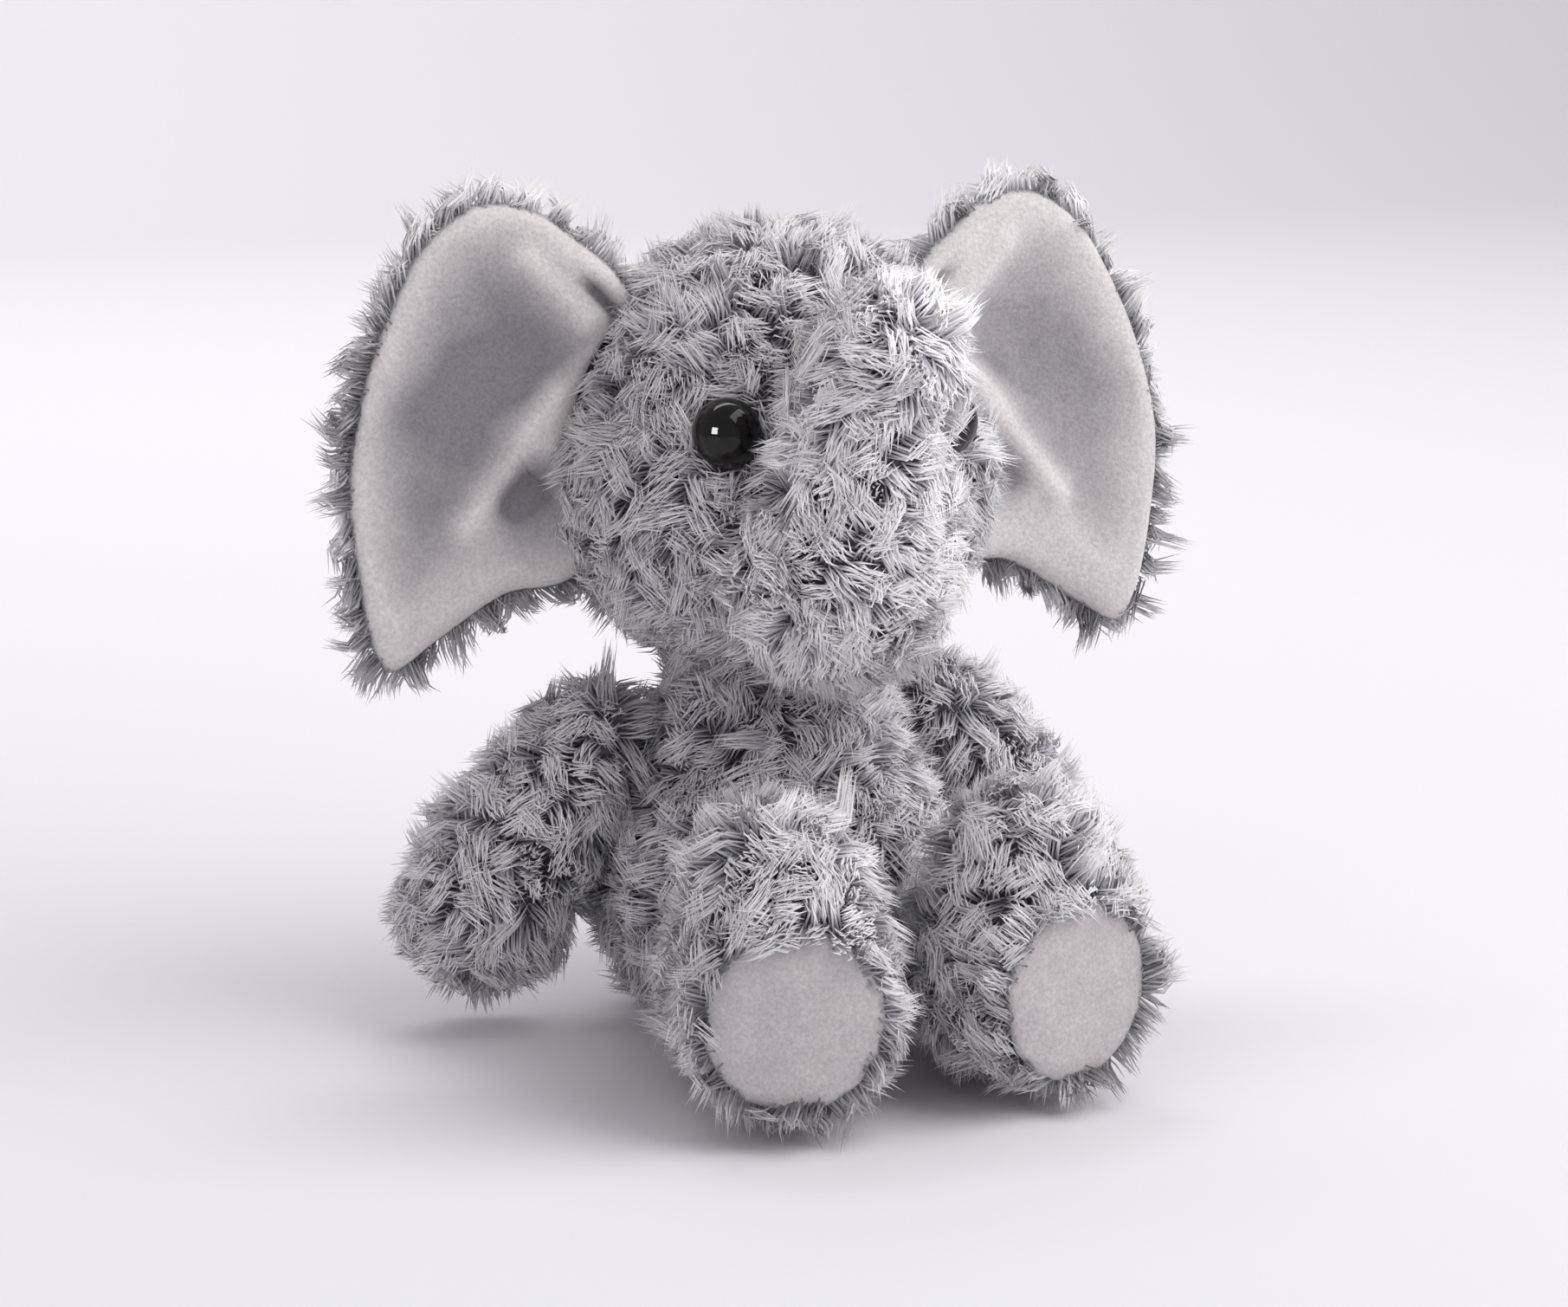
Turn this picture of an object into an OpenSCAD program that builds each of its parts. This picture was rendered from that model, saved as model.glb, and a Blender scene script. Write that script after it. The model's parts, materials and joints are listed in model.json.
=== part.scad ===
// A seated soft-toy elephant: curly pile fabric sewn over stuffing, smooth
// velour ear fronts and soles, safety eyes, and a pellet pouch in the seat.
// +Z is up, the toy faces -Y, and the origin is the middle of its flat seat.
// Every skin is as thick as its fabric and pile together.

/* [Fabric] */
// Thickness of the pile fabric, from its backing to the middle of the tips
pile = 8; // [7:0.5:8.5]
// Thickness of the short-nap velour
velour = 2; // [1.5:0.1:2.2]
// Room between pieces that move against each other
gap = 0.4; // [0.3:0.05:0.5]
// Room between a skin and the stuffing inside it
slack = 0.25; // [0.2:0.05:0.3]

/* [Head] */
// Radius of the head
head_r = 54; // [53:0.5:54.5]
// Height of the head's centre above the seat
head_z = 131; // [130.5:0.5:132]
// Radius of the neck opening in the head's skin
neck_hole_r = 12; // [10:1:14]

/* [Trunk] */
// Radius of the trunk's root, the ball that it bends about
muzzle_r = 31; // [30:0.5:31.5]
// Radius of the trunk half way up
trunk_r = 21; // [20:0.5:21.5]
// Radius of the trunk's tip
tip_r = 19.5; // [19:0.5:20]

/* [Eyes] */
// Radius of an eye's dome
eye_r = 7.5; // [7:0.25:7.5]
// How far each eye is turned from straight ahead
eye_turn = 33; // [32:0.5:35]
// How far each eye looks up from the head's centre
eye_lift = 11.5; // [10:0.5:13]

/* [Ears] */
// How far the back panel's pile shows outside the velour
ear_rim = 5; // [4:0.5:6]
// Radius of the ear's forward cup
ear_cup_r = 110; // [100:5:130]

/* [Body] */
// Radius of the belly
belly_r = 47; // [46:0.5:48]
// Height of the belly's widest place
belly_z = 31; // [30:0.5:32]
// Radius of the chest
chest_r = 35; // [34:0.5:36]

/* [Arms] */
// Radius of the shoulder, where the arm turns
shoulder_r = 16; // [15:0.5:16.5]
// Radius of the paw
paw_r = 21.5; // [20:0.5:22]

/* [Legs] */
// Radius of the hip, where the leg turns
hip_r = 21; // [20:0.5:21]
// Radius of the heel, the lower part of the foot
heel_r = 26.5; // [26:0.5:26.5]
// Radius of the toes, the upper part of the foot
toe_r = 24; // [23:0.5:24.5]
// Radius of a velour sole
sole_r = 18.7; // [18:0.1:19]
// How far each foot is turned outwards
toe_out = 14; // [10:1:16]

/* [Hidden] */
$fn = 40;

// The toy's left is +X, so its left-hand pieces are built with side 1.
LEFT = 1;
RIGHT = -1;
FAR = 300; // longer than the whole toy, for half spaces and through cuts

// Colours of the materials
FUR = "#8F8D92";
VELOUR = "#B5B2B1";
WADDING = "#EFEDE8";
POUCH = "#DAD6CC";
PELLET = "#D8DEE4";
BLACK = "#0B0A0A";

// Centres on the middle plane as [y, z]; a radius is third in the trunk's list
trunk_line = [
    [-38, 114, muzzle_r], [-55, 135, trunk_r + 0.5], [-57, 148, trunk_r],
    [-62, 156, tip_r]];
trunk_end = 79; // the blunt tip's distance in front of the origin
trunk_end_tilt = 10; // how far the blunt tip looks up
trunk_skin_back = -30; // the trunk's skin is open behind this y
trunk_swing = [0 : 5 : 25]; // turns at which room for the eyes is cut from it
eye_room = 0.6; // room left round an eye by that cutting

// Ear: outline of the velour as [distance from the middle plane, height]
ear_points = [
    [30, 158], [47, 181], [64, 187], [77, 180], [86, 166], [93, 149], [97, 130],
    [96, 110], [93, 93], [88, 85], [77, 91], [62, 100], [42, 108]];
ear_steps = 5; // outline steps between two points
ear_mid_x = 68; // the deepest place of the cup
ear_face_y = 3; // the velour's face there
ear_wadding_inset = 3;
ear_wadding_t = 2.8;
ear_hinge_top = [39, 5, 166];
ear_hinge_foot = [51, 5, 104];
ear_swing = [-20, -10, 0, 10, 20, 30]; // turns at which the root is trimmed
ear_trim = 0.7; // room left round the head by that trimming

// Eyes, as distances from the head's centre
eye_seat = 46.8;
eye_dome_sink = 0.3;
shank_r = 1.8;
shank_in = 39;
washer_r = 6.5;
washer_t = 1.2;
washer_bore_r = 1.85;
washer_at = 43.9;

// Body
chest_z = 52;
collar_z = 77;
seat_t = 4; // fabric and pressed pile under the seat
neck_r = 20;
neck_z = 62;
neck_clear = 0.3;
thread_r = 0.6;
thread_z = 78.4;
pouch_r = 22;
pouch_t = 0.8;
pouch_h = 13;
pouch_y = 5;
pouch_z = seat_t + 0.6;
pouch_mouth_r = 3;
bead_r = 2.3;
bead_step = 5;

// Limbs
shoulder = [41, 2, 70];
paw = [66.5, 8, 31];
arm_open = 7; // the arm's skin is open this far in from the shoulder's centre
hip = [27, -40, 22];
heel = [27.5, -79, 27.6];
toes = [27.5, -78, 51];
leg_open = 12; // and the leg's this far behind the hip's centre
sole_ahead = 17.5; // the sole's distance from the heel's centre
sole_t = 2.6;
sole_proud = 0.4;
sole_mouth_r = 15;

// Tail
tail_root = [0, 45.5, 32];
tail_bend = [0, 57, 16];
tail_tuft = [0, 58.5, 9.6];
tail_r = 5;
tail_room = 1.8; // lets the tail swing 20 degrees to each side
tuft_r = 8;

// ---- Shared shapes ----

// A round link: a ball at each end with a slightly slimmer cone between them
module link(a, ra, b, rb) {
    slim = 0.985;
    v = b - a;
    translate(a) sphere(r = ra);
    translate(b) sphere(r = rb);
    translate(a)
        rotate([0, acos(v.z / norm(v)), atan2(v.y, v.x)])
            cylinder(h = norm(v), r1 = ra * slim, r2 = rb * slim);
}

// Everything on one side of a plane: the far side of the origin along local +Z
module half_space() {
    translate([-FAR, -FAR, 0]) cube([2 * FAR, 2 * FAR, FAR]);
}

module on_side(side) {
    if (side == LEFT) children();
    else mirror([1, 0, 0]) children();
}

module at_head() {
    translate([0, 0, head_z]) children();
}

// Turns local +Z to the way an eye looks, from the head's centre
module at_eye(side) {
    at_head()
        rotate([0, 0, side * eye_turn])
            rotate([90 - eye_lift, 0, 0])
                children();
}

// ---- Trunk ----

// The trunk as balls and cones along its centre line, grown by a distance
module trunk_form(grow) {
    for (i = [0 : len(trunk_line) - 2])
        link(
            [0, trunk_line[i][0], trunk_line[i][1]], trunk_line[i][2] + grow,
            [0, trunk_line[i + 1][0], trunk_line[i + 1][1]],
            trunk_line[i + 1][2] + grow);
}

module trunk_blunt(inset) {
    intersection() {
        trunk_form(-inset);
        translate([0, -trunk_end + inset, trunk_line[3][1]])
            rotate([-90 - trunk_end_tilt, 0, 0])
                half_space();
    }
}

// Turns its children about the ball at the trunk's root; forwards is positive
module trunk_turned(turn) {
    root = [0, trunk_line[0][0], trunk_line[0][1]];
    translate(root) rotate([turn, 0, 0]) translate(-root) children();
}

module trunk_skin() {
    color(FUR)
        difference() {
            trunk_blunt(0);
            trunk_blunt(pile);
            translate([0, trunk_skin_back, 0]) rotate([-90, 0, 0]) half_space();
            for (side = [LEFT, RIGHT], turn = trunk_swing)
                trunk_turned(-turn)
                    at_eye(side) translate([0, 0, eye_seat]) sphere(r = eye_r + eye_room);
        }
}

module trunk_stuffing() {
    color(WADDING) trunk_blunt(pile + slack);
}

// ---- Head ----

module head_skin() {
    color(FUR)
        difference() {
            at_head() sphere(r = head_r);
            at_head() sphere(r = head_r - pile);
            trunk_form(gap);
            cylinder(h = head_z, r = neck_hole_r);
            for (side = [LEFT, RIGHT]) {
                at_eye(side) translate([0, 0, eye_seat - eye_dome_sink])
                    cylinder(h = FAR, r = eye_r + slack);
                at_eye(side) translate([0, 0, shank_in])
                    cylinder(h = FAR, r = shank_r + slack);
            }
        }
}

module head_stuffing() {
    color(WADDING)
        difference() {
            // laid on its side, so that no cut comes near the sphere's own pole
            at_head() rotate([-90, 0, 0]) sphere(r = head_r - pile - slack);
            trunk_form(gap);
            for (side = [LEFT, RIGHT]) {
                at_eye(side) translate([0, 0, washer_at - slack])
                    cylinder(h = FAR, r = washer_r + slack);
                at_eye(side) translate([0, 0, shank_in - slack])
                    cylinder(h = FAR, r = shank_r + slack);
            }
        }
}

// A dome on a shank
module eye(side) {
    color(BLACK)
        at_eye(side) {
            intersection() {
                translate([0, 0, eye_seat]) sphere(r = eye_r);
                translate([0, 0, eye_seat]) half_space();
            }
            translate([0, 0, shank_in])
                cylinder(h = eye_seat - shank_in + 1, r = shank_r);
        }
}

module eye_washer(side) {
    color(PELLET)
        at_eye(side) translate([0, 0, washer_at])
            difference() {
                cylinder(h = washer_t, r = washer_r);
                translate([0, 0, -1]) cylinder(h = washer_t + 2, r = washer_bore_r);
            }
}

module eye_left() { eye(LEFT); }
module eye_right() { eye(RIGHT); }
module eye_washer_left() { eye_washer(LEFT); }
module eye_washer_right() { eye_washer(RIGHT); }

// ---- Ears ----

// A smooth closed curve through points p, and its outward normal
function around(p, i) = p[(i + len(p)) % len(p)];
function curve(p, i, t) = 0.5 * (
    2 * around(p, i)
    + (around(p, i + 1) - around(p, i - 1)) * t
    + (2 * around(p, i - 1) - 5 * around(p, i) + 4 * around(p, i + 1)
        - around(p, i + 2)) * t * t
    + (3 * around(p, i) - around(p, i - 1) - 3 * around(p, i + 1)
        + around(p, i + 2)) * t * t * t);
function slope(p, i, t) = curve(p, i, t + 0.01) - curve(p, i, t - 0.01);
function outward(v) = [-v.y, v.x] / norm(v);
function outline(p, steps, grow) = [
    for (i = [0 : len(p) - 1], s = [0 : steps - 1])
        curve(p, i, s / steps) + grow * outward(slope(p, i, s / steps))];

// Part of the cupped ear between two depths behind the velour's face
module ear_layer(side, near, far, grow) {
    on_side(side)
        difference() {
            intersection() {
                rotate([90, 0, 0])
                    translate([0, 0, -FAR / 2])
                        linear_extrude(height = FAR)
                            polygon(outline(ear_points, ear_steps, grow));
                translate([ear_mid_x, ear_face_y - ear_cup_r, 0])
                    difference() {
                        cylinder(h = FAR, r = ear_cup_r + far, $fn = 120);
                        translate([0, 0, -1])
                            cylinder(h = FAR + 2, r = ear_cup_r + near, $fn = 120);
                    }
                translate([0, -ear_mid_x / 2, 0]) cube([FAR, ear_mid_x, FAR]);
            }
            for (turn = ear_swing) ear_turned(-turn) at_head()
                sphere(r = head_r + ear_trim);
        }
}

// Turns its children about the left ear's hinge; forwards is positive
module ear_turned(turn) {
    translate(ear_hinge_foot)
        rotate(a = turn, v = ear_hinge_foot - ear_hinge_top)
            translate(-ear_hinge_foot)
                children();
}

module ear_front(side) {
    color(VELOUR) ear_layer(side, 0, velour, 0);
}

module ear_wadding(side) {
    near = velour + slack;
    color(WADDING)
        ear_layer(side, near, near + ear_wadding_t, -ear_wadding_inset);
}

module ear_back(side) {
    near = velour + ear_wadding_t + 2 * slack;
    color(FUR) ear_layer(side, near, near + pile, ear_rim);
}

module ear_left_front() { ear_front(LEFT); }
module ear_left_wadding() { ear_wadding(LEFT); }
module ear_left_back() { ear_back(LEFT); }
module ear_right_front() { ear_front(RIGHT); }
module ear_right_wadding() { ear_wadding(RIGHT); }
module ear_right_back() { ear_back(RIGHT); }

// ---- Arms ----

module arm_form(grow) {
    link(shoulder, shoulder_r + grow, paw, paw_r + grow);
}

module arm_skin(side) {
    color(FUR)
        on_side(side)
            difference() {
                arm_form(0);
                arm_form(-pile);
                translate([shoulder.x - arm_open, 0, 0])
                    rotate([0, -90, 0]) half_space();
            }
}

module arm_stuffing(side) {
    color(WADDING) on_side(side) arm_form(-pile - slack);
}

module arm_left_skin() { arm_skin(LEFT); }
module arm_left_stuffing() { arm_stuffing(LEFT); }
module arm_right_skin() { arm_skin(RIGHT); }
module arm_right_stuffing() { arm_stuffing(RIGHT); }

// ---- Legs ----

// The sole's frame: local +Z points out of the sole from the heel's centre
module at_sole() {
    translate(heel) rotate([0, 0, toe_out]) rotate([90, 0, 0]) children();
}

module leg_form(grow) {
    link(hip, hip_r + grow, heel, heel_r + grow);
    link(heel, heel_r + grow, toes, toe_r + grow);
}

module leg_skin(side) {
    color(FUR)
        on_side(side)
            difference() {
                leg_form(0);
                leg_form(-pile);
                at_sole() translate([0, 0, sole_ahead]) half_space();
                at_sole() translate([0, 0, sole_ahead + sole_proud - sole_t - slack])
                    cylinder(h = FAR, r = sole_r + slack);
                at_sole() cylinder(h = FAR, r = sole_mouth_r);
                translate([0, hip.y + leg_open, 0])
                    rotate([-90, 0, 0]) half_space();
            }
}

module leg_stuffing(side) {
    color(WADDING)
        on_side(side)
            difference() {
                leg_form(-pile - slack);
                at_sole() translate([0, 0, sole_ahead + sole_proud - sole_t - slack])
                    half_space();
            }
}

module sole(side) {
    color(VELOUR)
        on_side(side)
            at_sole() translate([0, 0, sole_ahead + sole_proud - sole_t])
                cylinder(h = sole_t, r = sole_r);
}

module leg_left_skin() { leg_skin(LEFT); }
module leg_left_stuffing() { leg_stuffing(LEFT); }
module leg_right_skin() { leg_skin(RIGHT); }
module leg_right_stuffing() { leg_stuffing(RIGHT); }
module sole_left() { sole(LEFT); }
module sole_right() { sole(RIGHT); }

// ---- Body ----

module body_form(grow) {
    link([0, 0, belly_z], belly_r + grow, [0, 0, chest_z], chest_r + grow);
}

// The room that the limbs, the tail and the neck need in the body
module body_neighbours() {
    for (side = [LEFT, RIGHT]) on_side(side) {
        arm_form(gap);
        leg_form(gap);
    }
    tail_form(tail_room);
    translate([0, 0, neck_z - neck_clear])
        cylinder(h = FAR, r = neck_r + neck_clear);
}

module body_skin() {
    color(FUR)
        difference() {
            intersection() {
                body_form(0);
                translate([-FAR / 2, -FAR / 2, 0]) cube([FAR, FAR, collar_z]);
            }
            intersection() {
                body_form(-pile);
                translate([0, 0, seat_t]) half_space();
            }
            body_neighbours();
        }
}

module body_stuffing() {
    color(WADDING)
        difference() {
            intersection() {
                body_form(-pile - slack);
                translate([0, 0, seat_t + slack]) half_space();
            }
            body_neighbours();
            translate([0, pouch_y, pouch_z - 2])
                cylinder(h = pouch_h + slack + 2, r = pouch_r + slack);
        }
}

// A flat round bag, open at its filling mouth
module pellet_pouch() {
    color(POUCH)
        translate([0, pouch_y, pouch_z])
            difference() {
                cylinder(h = pouch_h, r = pouch_r);
                translate([0, 0, pouch_t])
                    cylinder(h = pouch_h - 2 * pouch_t, r = pouch_r - pouch_t);
                cylinder(h = FAR, r = pouch_mouth_r);
            }
}

// Beads in rings, in two layers
module pellets() {
    color(PELLET)
        translate([0, pouch_y, pouch_z + pouch_t])
            for (layer = [0, 1], ring = [1 : 3], k = [0 : 6 * ring - 1])
                rotate([0, 0, 60 * k / ring + 30 * layer])
                    translate([ring * bead_step, 0, bead_r + 0.3 + layer * bead_step])
                        sphere(r = bead_r, $fn = 16);
}

// ---- Neck ----

module neck_stuffing() {
    color(WADDING)
        difference() {
            translate([0, 0, neck_z]) cylinder(h = FAR / 4, r = neck_r);
            at_head() sphere(r = head_r + gap);
            at_head() half_space();
        }
}

module neck_thread() {
    color(POUCH)
        translate([0, 0, thread_z])
            rotate_extrude()
                translate([neck_r + 2 * thread_r, 0]) circle(r = thread_r);
}

// ---- Tail ----

module tail_form(grow) {
    link(tail_root, tail_r + grow, tail_bend, tail_r + grow);
    link(tail_bend, tail_r + grow, tail_tuft, tuft_r + grow);
}

module tail() {
    color(FUR) tail_form(0);
}

body_skin();
body_stuffing();
pellet_pouch();
pellets();
neck_stuffing();
neck_thread();
head_skin();
head_stuffing();
eye_left();
eye_right();
eye_washer_left();
eye_washer_right();
trunk_skin();
trunk_stuffing();
ear_left_front();
ear_left_wadding();
ear_left_back();
ear_right_front();
ear_right_wadding();
ear_right_back();
arm_left_skin();
arm_left_stuffing();
arm_right_skin();
arm_right_stuffing();
leg_left_skin();
leg_left_stuffing();
sole_left();
leg_right_skin();
leg_right_stuffing();
sole_right();
tail();
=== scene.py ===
"""A seated stuffed elephant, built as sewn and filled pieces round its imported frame.

Every skin is a padded fabric shell whose pile is made of tufts of tapered hairs. Sizes are in
metres in the frame's own axes: +Z up, the toy faces -Y and its left is +X.
"""
import json

import bpy
import numpy as np
from bpy.props import FloatProperty, FloatVectorProperty, IntProperty, PointerProperty
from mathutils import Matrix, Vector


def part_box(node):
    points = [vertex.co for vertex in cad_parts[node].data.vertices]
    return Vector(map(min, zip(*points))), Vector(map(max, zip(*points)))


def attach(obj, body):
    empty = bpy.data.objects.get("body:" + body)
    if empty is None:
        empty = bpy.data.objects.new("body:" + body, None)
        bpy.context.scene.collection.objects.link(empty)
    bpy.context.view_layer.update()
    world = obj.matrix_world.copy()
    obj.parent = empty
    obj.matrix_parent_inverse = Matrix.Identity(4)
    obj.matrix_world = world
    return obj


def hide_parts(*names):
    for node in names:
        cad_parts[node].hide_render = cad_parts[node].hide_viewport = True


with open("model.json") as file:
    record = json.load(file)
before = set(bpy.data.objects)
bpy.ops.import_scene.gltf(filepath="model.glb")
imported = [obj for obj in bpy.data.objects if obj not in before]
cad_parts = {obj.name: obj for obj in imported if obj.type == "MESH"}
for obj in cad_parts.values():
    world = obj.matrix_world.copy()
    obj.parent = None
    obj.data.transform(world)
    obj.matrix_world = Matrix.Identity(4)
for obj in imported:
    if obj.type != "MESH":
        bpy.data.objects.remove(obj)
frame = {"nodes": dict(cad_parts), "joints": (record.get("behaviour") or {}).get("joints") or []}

bl_info = {
    "name": "Stuffed Elephant",
    "version": (1, 0, 0),
    "blender": (4, 5, 0),
    "location": "View3D > Sidebar > Elephant",
    "description": "Builds a seated soft-toy elephant in curly pile fabric",
    "category": "Object",
}

MM = 0.001
TURN = 2 * np.pi
GOLDEN_TURN = np.pi * (3 - np.sqrt(5))
MOST_TRIANGLES = 190000  # in one piece of pile
SIDES = (("left", 1), ("right", -1))
UP = np.array((0.0, 0.0, 1.0))
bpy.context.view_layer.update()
PACKED = {name: tuple(np.array(v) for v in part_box(name)) for name in frame["nodes"]}
JOINTS = {j["name"]: j for j in frame["joints"]}


# ---- Colours, sizes and places ----


def linear(code):
    """An sRGB hex colour as linear red, green and blue."""
    s = np.array([int(code[i : i + 2], 16) for i in (1, 3, 5)]) / 255
    return tuple(np.where(s <= 0.04045, s / 12.92, ((s + 0.055) / 1.055) ** 2.4))


def colour_property(name, text, code):
    """A colour that a user may change, with its sRGB hex default."""
    return FloatVectorProperty(
        name=name, description=text, subtype="COLOR", min=0, max=1, default=linear(code)
    )


def length_property(name, text, size):
    """A length that a user may change, in metres."""
    return FloatProperty(name=name, description=text, unit="LENGTH", default=size, min=0)


class ElephantSizes(bpy.types.PropertyGroup):
    """The sizes of the pile, the cloth and the filling."""

    pile: length_property("Pile", "Length of the long curly pile", 9.2 * MM)
    tuft_gap: length_property("Tuft spacing", "From one tuft to the next", 4.5 * MM)
    hair_width: length_property("Hair width", "Width of one bunch of fibres", 0.5 * MM)
    hairs: IntProperty(name="Hairs", description="Bunches of fibres in a tuft", default=22)
    swell: length_property("Swell", "Most that the filling may push the cloth", 4 * MM)
    sole_swell: length_property("Sole crown", "How far a sole bulges", 2.2 * MM)


class ElephantColours(bpy.types.PropertyGroup):
    """The colours of the materials."""

    # the root's dark grey is partly the fibres' dye and partly painted shade deep in the pile
    pile_root: colour_property("Pile root", "Fibres near the backing", "#87858E")
    pile_mid: colour_property("Pile middle", "Fibres half way up", "#C6C4CA")
    pile_tip: colour_property("Pile tip", "Frosted ends of the fibres", "#FAF8F9")
    # the dark and light velour give painted shade and painted light on the ears, and the velour's
    # own tone on the soles and in its clouds
    velour_dark_and_shaded: colour_property("Velour, dark", "Darker velour and painted shade", "#858287")
    velour: colour_property("Velour", "Short nap of ear fronts and soles", "#B7B2B3")
    velour_pale_and_lit: colour_property("Velour, light", "Paler velour and painted light", "#DCD6D5")
    floor: colour_property("Floor", "Plain pale floor", "#E9E7EB")


# ---- Mesh tools ----

CLOTH_FRAMES = 20  # in which the pressure and the cloth come to rest


def mesh_object(name, points, faces):
    """A mesh object from an array of points and arrays of faces with 3 or 4 corners each."""
    mesh = bpy.data.meshes.new(name)
    sizes = np.concatenate([np.full(len(f), f.shape[1]) for f in faces])
    corners = np.concatenate([f.ravel() for f in faces])
    mesh.vertices.add(len(points))
    mesh.vertices.foreach_set("co", np.asarray(points, np.float32).ravel())
    mesh.loops.add(len(corners))
    mesh.loops.foreach_set("vertex_index", corners.astype(np.int32))
    mesh.polygons.add(len(sizes))
    starts = np.concatenate(([0], np.cumsum(sizes)[:-1]))
    mesh.polygons.foreach_set("loop_start", starts.astype(np.int32))
    mesh.polygons.foreach_set("use_smooth", np.ones(len(sizes), bool))
    mesh.update(calc_edges=True)
    mesh.validate()
    piece = bpy.data.objects.new(name, mesh)
    bpy.context.scene.collection.objects.link(piece)
    return piece


def unit(v):
    """Vectors made one long."""
    return v / np.maximum(np.linalg.norm(v, axis=-1, keepdims=True), 1e-12)


def smooth_line(keys, count):
    """Points along a Catmull-Rom curve: a cubic from key to key, with slopes from both sides."""
    keys = np.asarray(keys, float)
    padded = np.vstack((2 * keys[0] - keys[1], keys, 2 * keys[-1] - keys[-2]))
    at = np.linspace(0, len(keys) - 1, count)
    i = np.minimum(at.astype(int), len(keys) - 2)
    t = (at - i)[:, None]
    a, b, c, d = (padded[i + k] for k in range(4))
    return 0.5 * (
        2 * b + (c - a) * t + (2 * a - 5 * b + 4 * c - d) * t**2
        + (3 * b - a - 3 * c + d) * t**3
    )


def tube(keys, rows=30, around=28, dome=6):
    """A closed round tube: a circle carried along a curve through keys (x, y, z, radius).

    Each end is a half ball, so its circles shrink as the cosine of the way round the ball.
    """
    line = smooth_line(keys, rows)
    path, radius = line[:, :3], line[:, 3]
    along = unit(np.gradient(path, axis=0))
    angles = np.linspace(np.pi / 2, 0, dome, endpoint=False)[:, None]
    start = path[0] - along[0] * radius[0] * np.sin(angles)
    end = path[-1] + along[-1] * radius[-1] * np.sin(angles[::-1])
    path = np.vstack((start, path, end))
    radius = np.concatenate(
        (radius[0] * np.cos(angles[:, 0]), radius, radius[-1] * np.cos(angles[::-1, 0]))
    )
    along = np.vstack((np.repeat(along[:1], dome, 0), along, np.repeat(along[-1:], dome, 0)))
    across = unit(np.cross(along, (0.37, 0.21, 0.9)))
    other = np.cross(along, across)
    turn = np.linspace(0, TURN, around, endpoint=False)[None, :, None]
    ring = across[:, None] * np.cos(turn) + other[:, None] * np.sin(turn)
    return closed_rows(path[:, None] + ring * np.maximum(radius, 1e-6)[:, None, None])


def closed_rows(rows):
    """Points and faces of rings of points, whose first and last rings close to a point."""
    count, around = rows.shape[:2]
    points = np.vstack((rows[0].mean(0), rows[1:-1].reshape(-1, 3), rows[-1].mean(0)))
    index = 1 + np.arange((count - 2) * around).reshape(count - 2, around)
    beside = np.roll(index, -1, axis=1)
    sides = np.stack((index[:-1], beside[:-1], beside[1:], index[1:]), -1).reshape(-1, 4)
    first = np.stack((np.zeros(around, int), beside[0], index[0]), -1)
    last = np.stack((np.full(around, len(points) - 1), index[-1], beside[-1]), -1)
    return points, [sides, first, last]


def joined(name, shells):
    """One object from several closed shells."""
    points = np.vstack([p for p, f in shells])
    starts = np.cumsum([0] + [len(p) for p, f in shells])
    faces = [f + s for (p, fs), s in zip(shells, starts) for f in fs]
    return mesh_object(name, points, faces)


def vectors(items, key):
    """One vector of every item of a mesh, as an array."""
    flat = np.empty(len(items) * 3, np.float32)
    items.foreach_get(key, flat)
    return flat.reshape(-1, 3).astype(float)


def points_of(piece):
    """The points of a mesh object, as an array."""
    return vectors(piece.data.vertices, "co")


def set_points(piece, points):
    """Gives a mesh object's points new places."""
    piece.data.vertices.foreach_set("co", points.astype(np.float32).ravel())
    piece.data.update()


def settle(piece):
    """Makes a piece's modifiers part of its mesh."""
    graph = bpy.context.evaluated_depsgraph_get()
    mesh = bpy.data.meshes.new_from_object(piece.evaluated_get(graph))
    piece.modifiers.clear()
    old, piece.data = piece.data, mesh
    mesh.name = piece.name
    bpy.data.meshes.remove(old)


def remesh(piece, voxel):
    """Joins a piece's crossing shells into one even skin of faces about voxel wide."""
    step = piece.modifiers.new("remesh", "REMESH")
    step.mode = "VOXEL"
    step.voxel_size = voxel
    step.use_smooth_shade = True
    settle(piece)


def relax(piece):
    """Evens out the steps that the remesh leaves."""
    step = piece.modifiers.new("relax", "SMOOTH")
    step.factor = 0.5
    step.iterations = 4
    settle(piece)


def plump(piece, pressure, most):
    """Fills a fabric shell: cloth swells under inner pressure, and no point goes past most."""
    before = points_of(piece)
    cloth = piece.modifiers.new("filling", "CLOTH")
    cloth.settings.quality = 5
    cloth.settings.mass = 0.2
    cloth.settings.tension_stiffness = 12
    cloth.settings.compression_stiffness = 12
    cloth.settings.bending_stiffness = 0.6
    cloth.settings.use_pressure = True
    cloth.settings.uniform_pressure_force = pressure
    cloth.settings.effector_weights.gravity = 0
    for number in range(1, CLOTH_FRAMES + 1):
        bpy.context.scene.frame_set(number)
    settle(piece)
    bpy.context.scene.frame_set(1)
    moved = points_of(piece) - before
    far = np.linalg.norm(moved, axis=1, keepdims=True)
    set_points(piece, before + moved * np.minimum(1, most / np.maximum(far, 1e-9)))


def rounder(piece):
    """One level of subdivision, made part of the mesh."""
    step = piece.modifiers.new("rounder", "SUBSURF")
    step.levels = step.render_levels = 1
    settle(piece)
    piece.data.polygons.foreach_set("use_smooth", np.ones(len(piece.data.polygons), bool))


def face_sites(piece):
    """The middle and outward normal of every face of a piece."""
    return vectors(piece.data.polygons, "center"), vectors(piece.data.polygons, "normal")


def point_normals(piece):
    """The outward normal at every point of a piece."""
    return vectors(piece.data.vertices, "normal")


# ---- Pile ----

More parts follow.
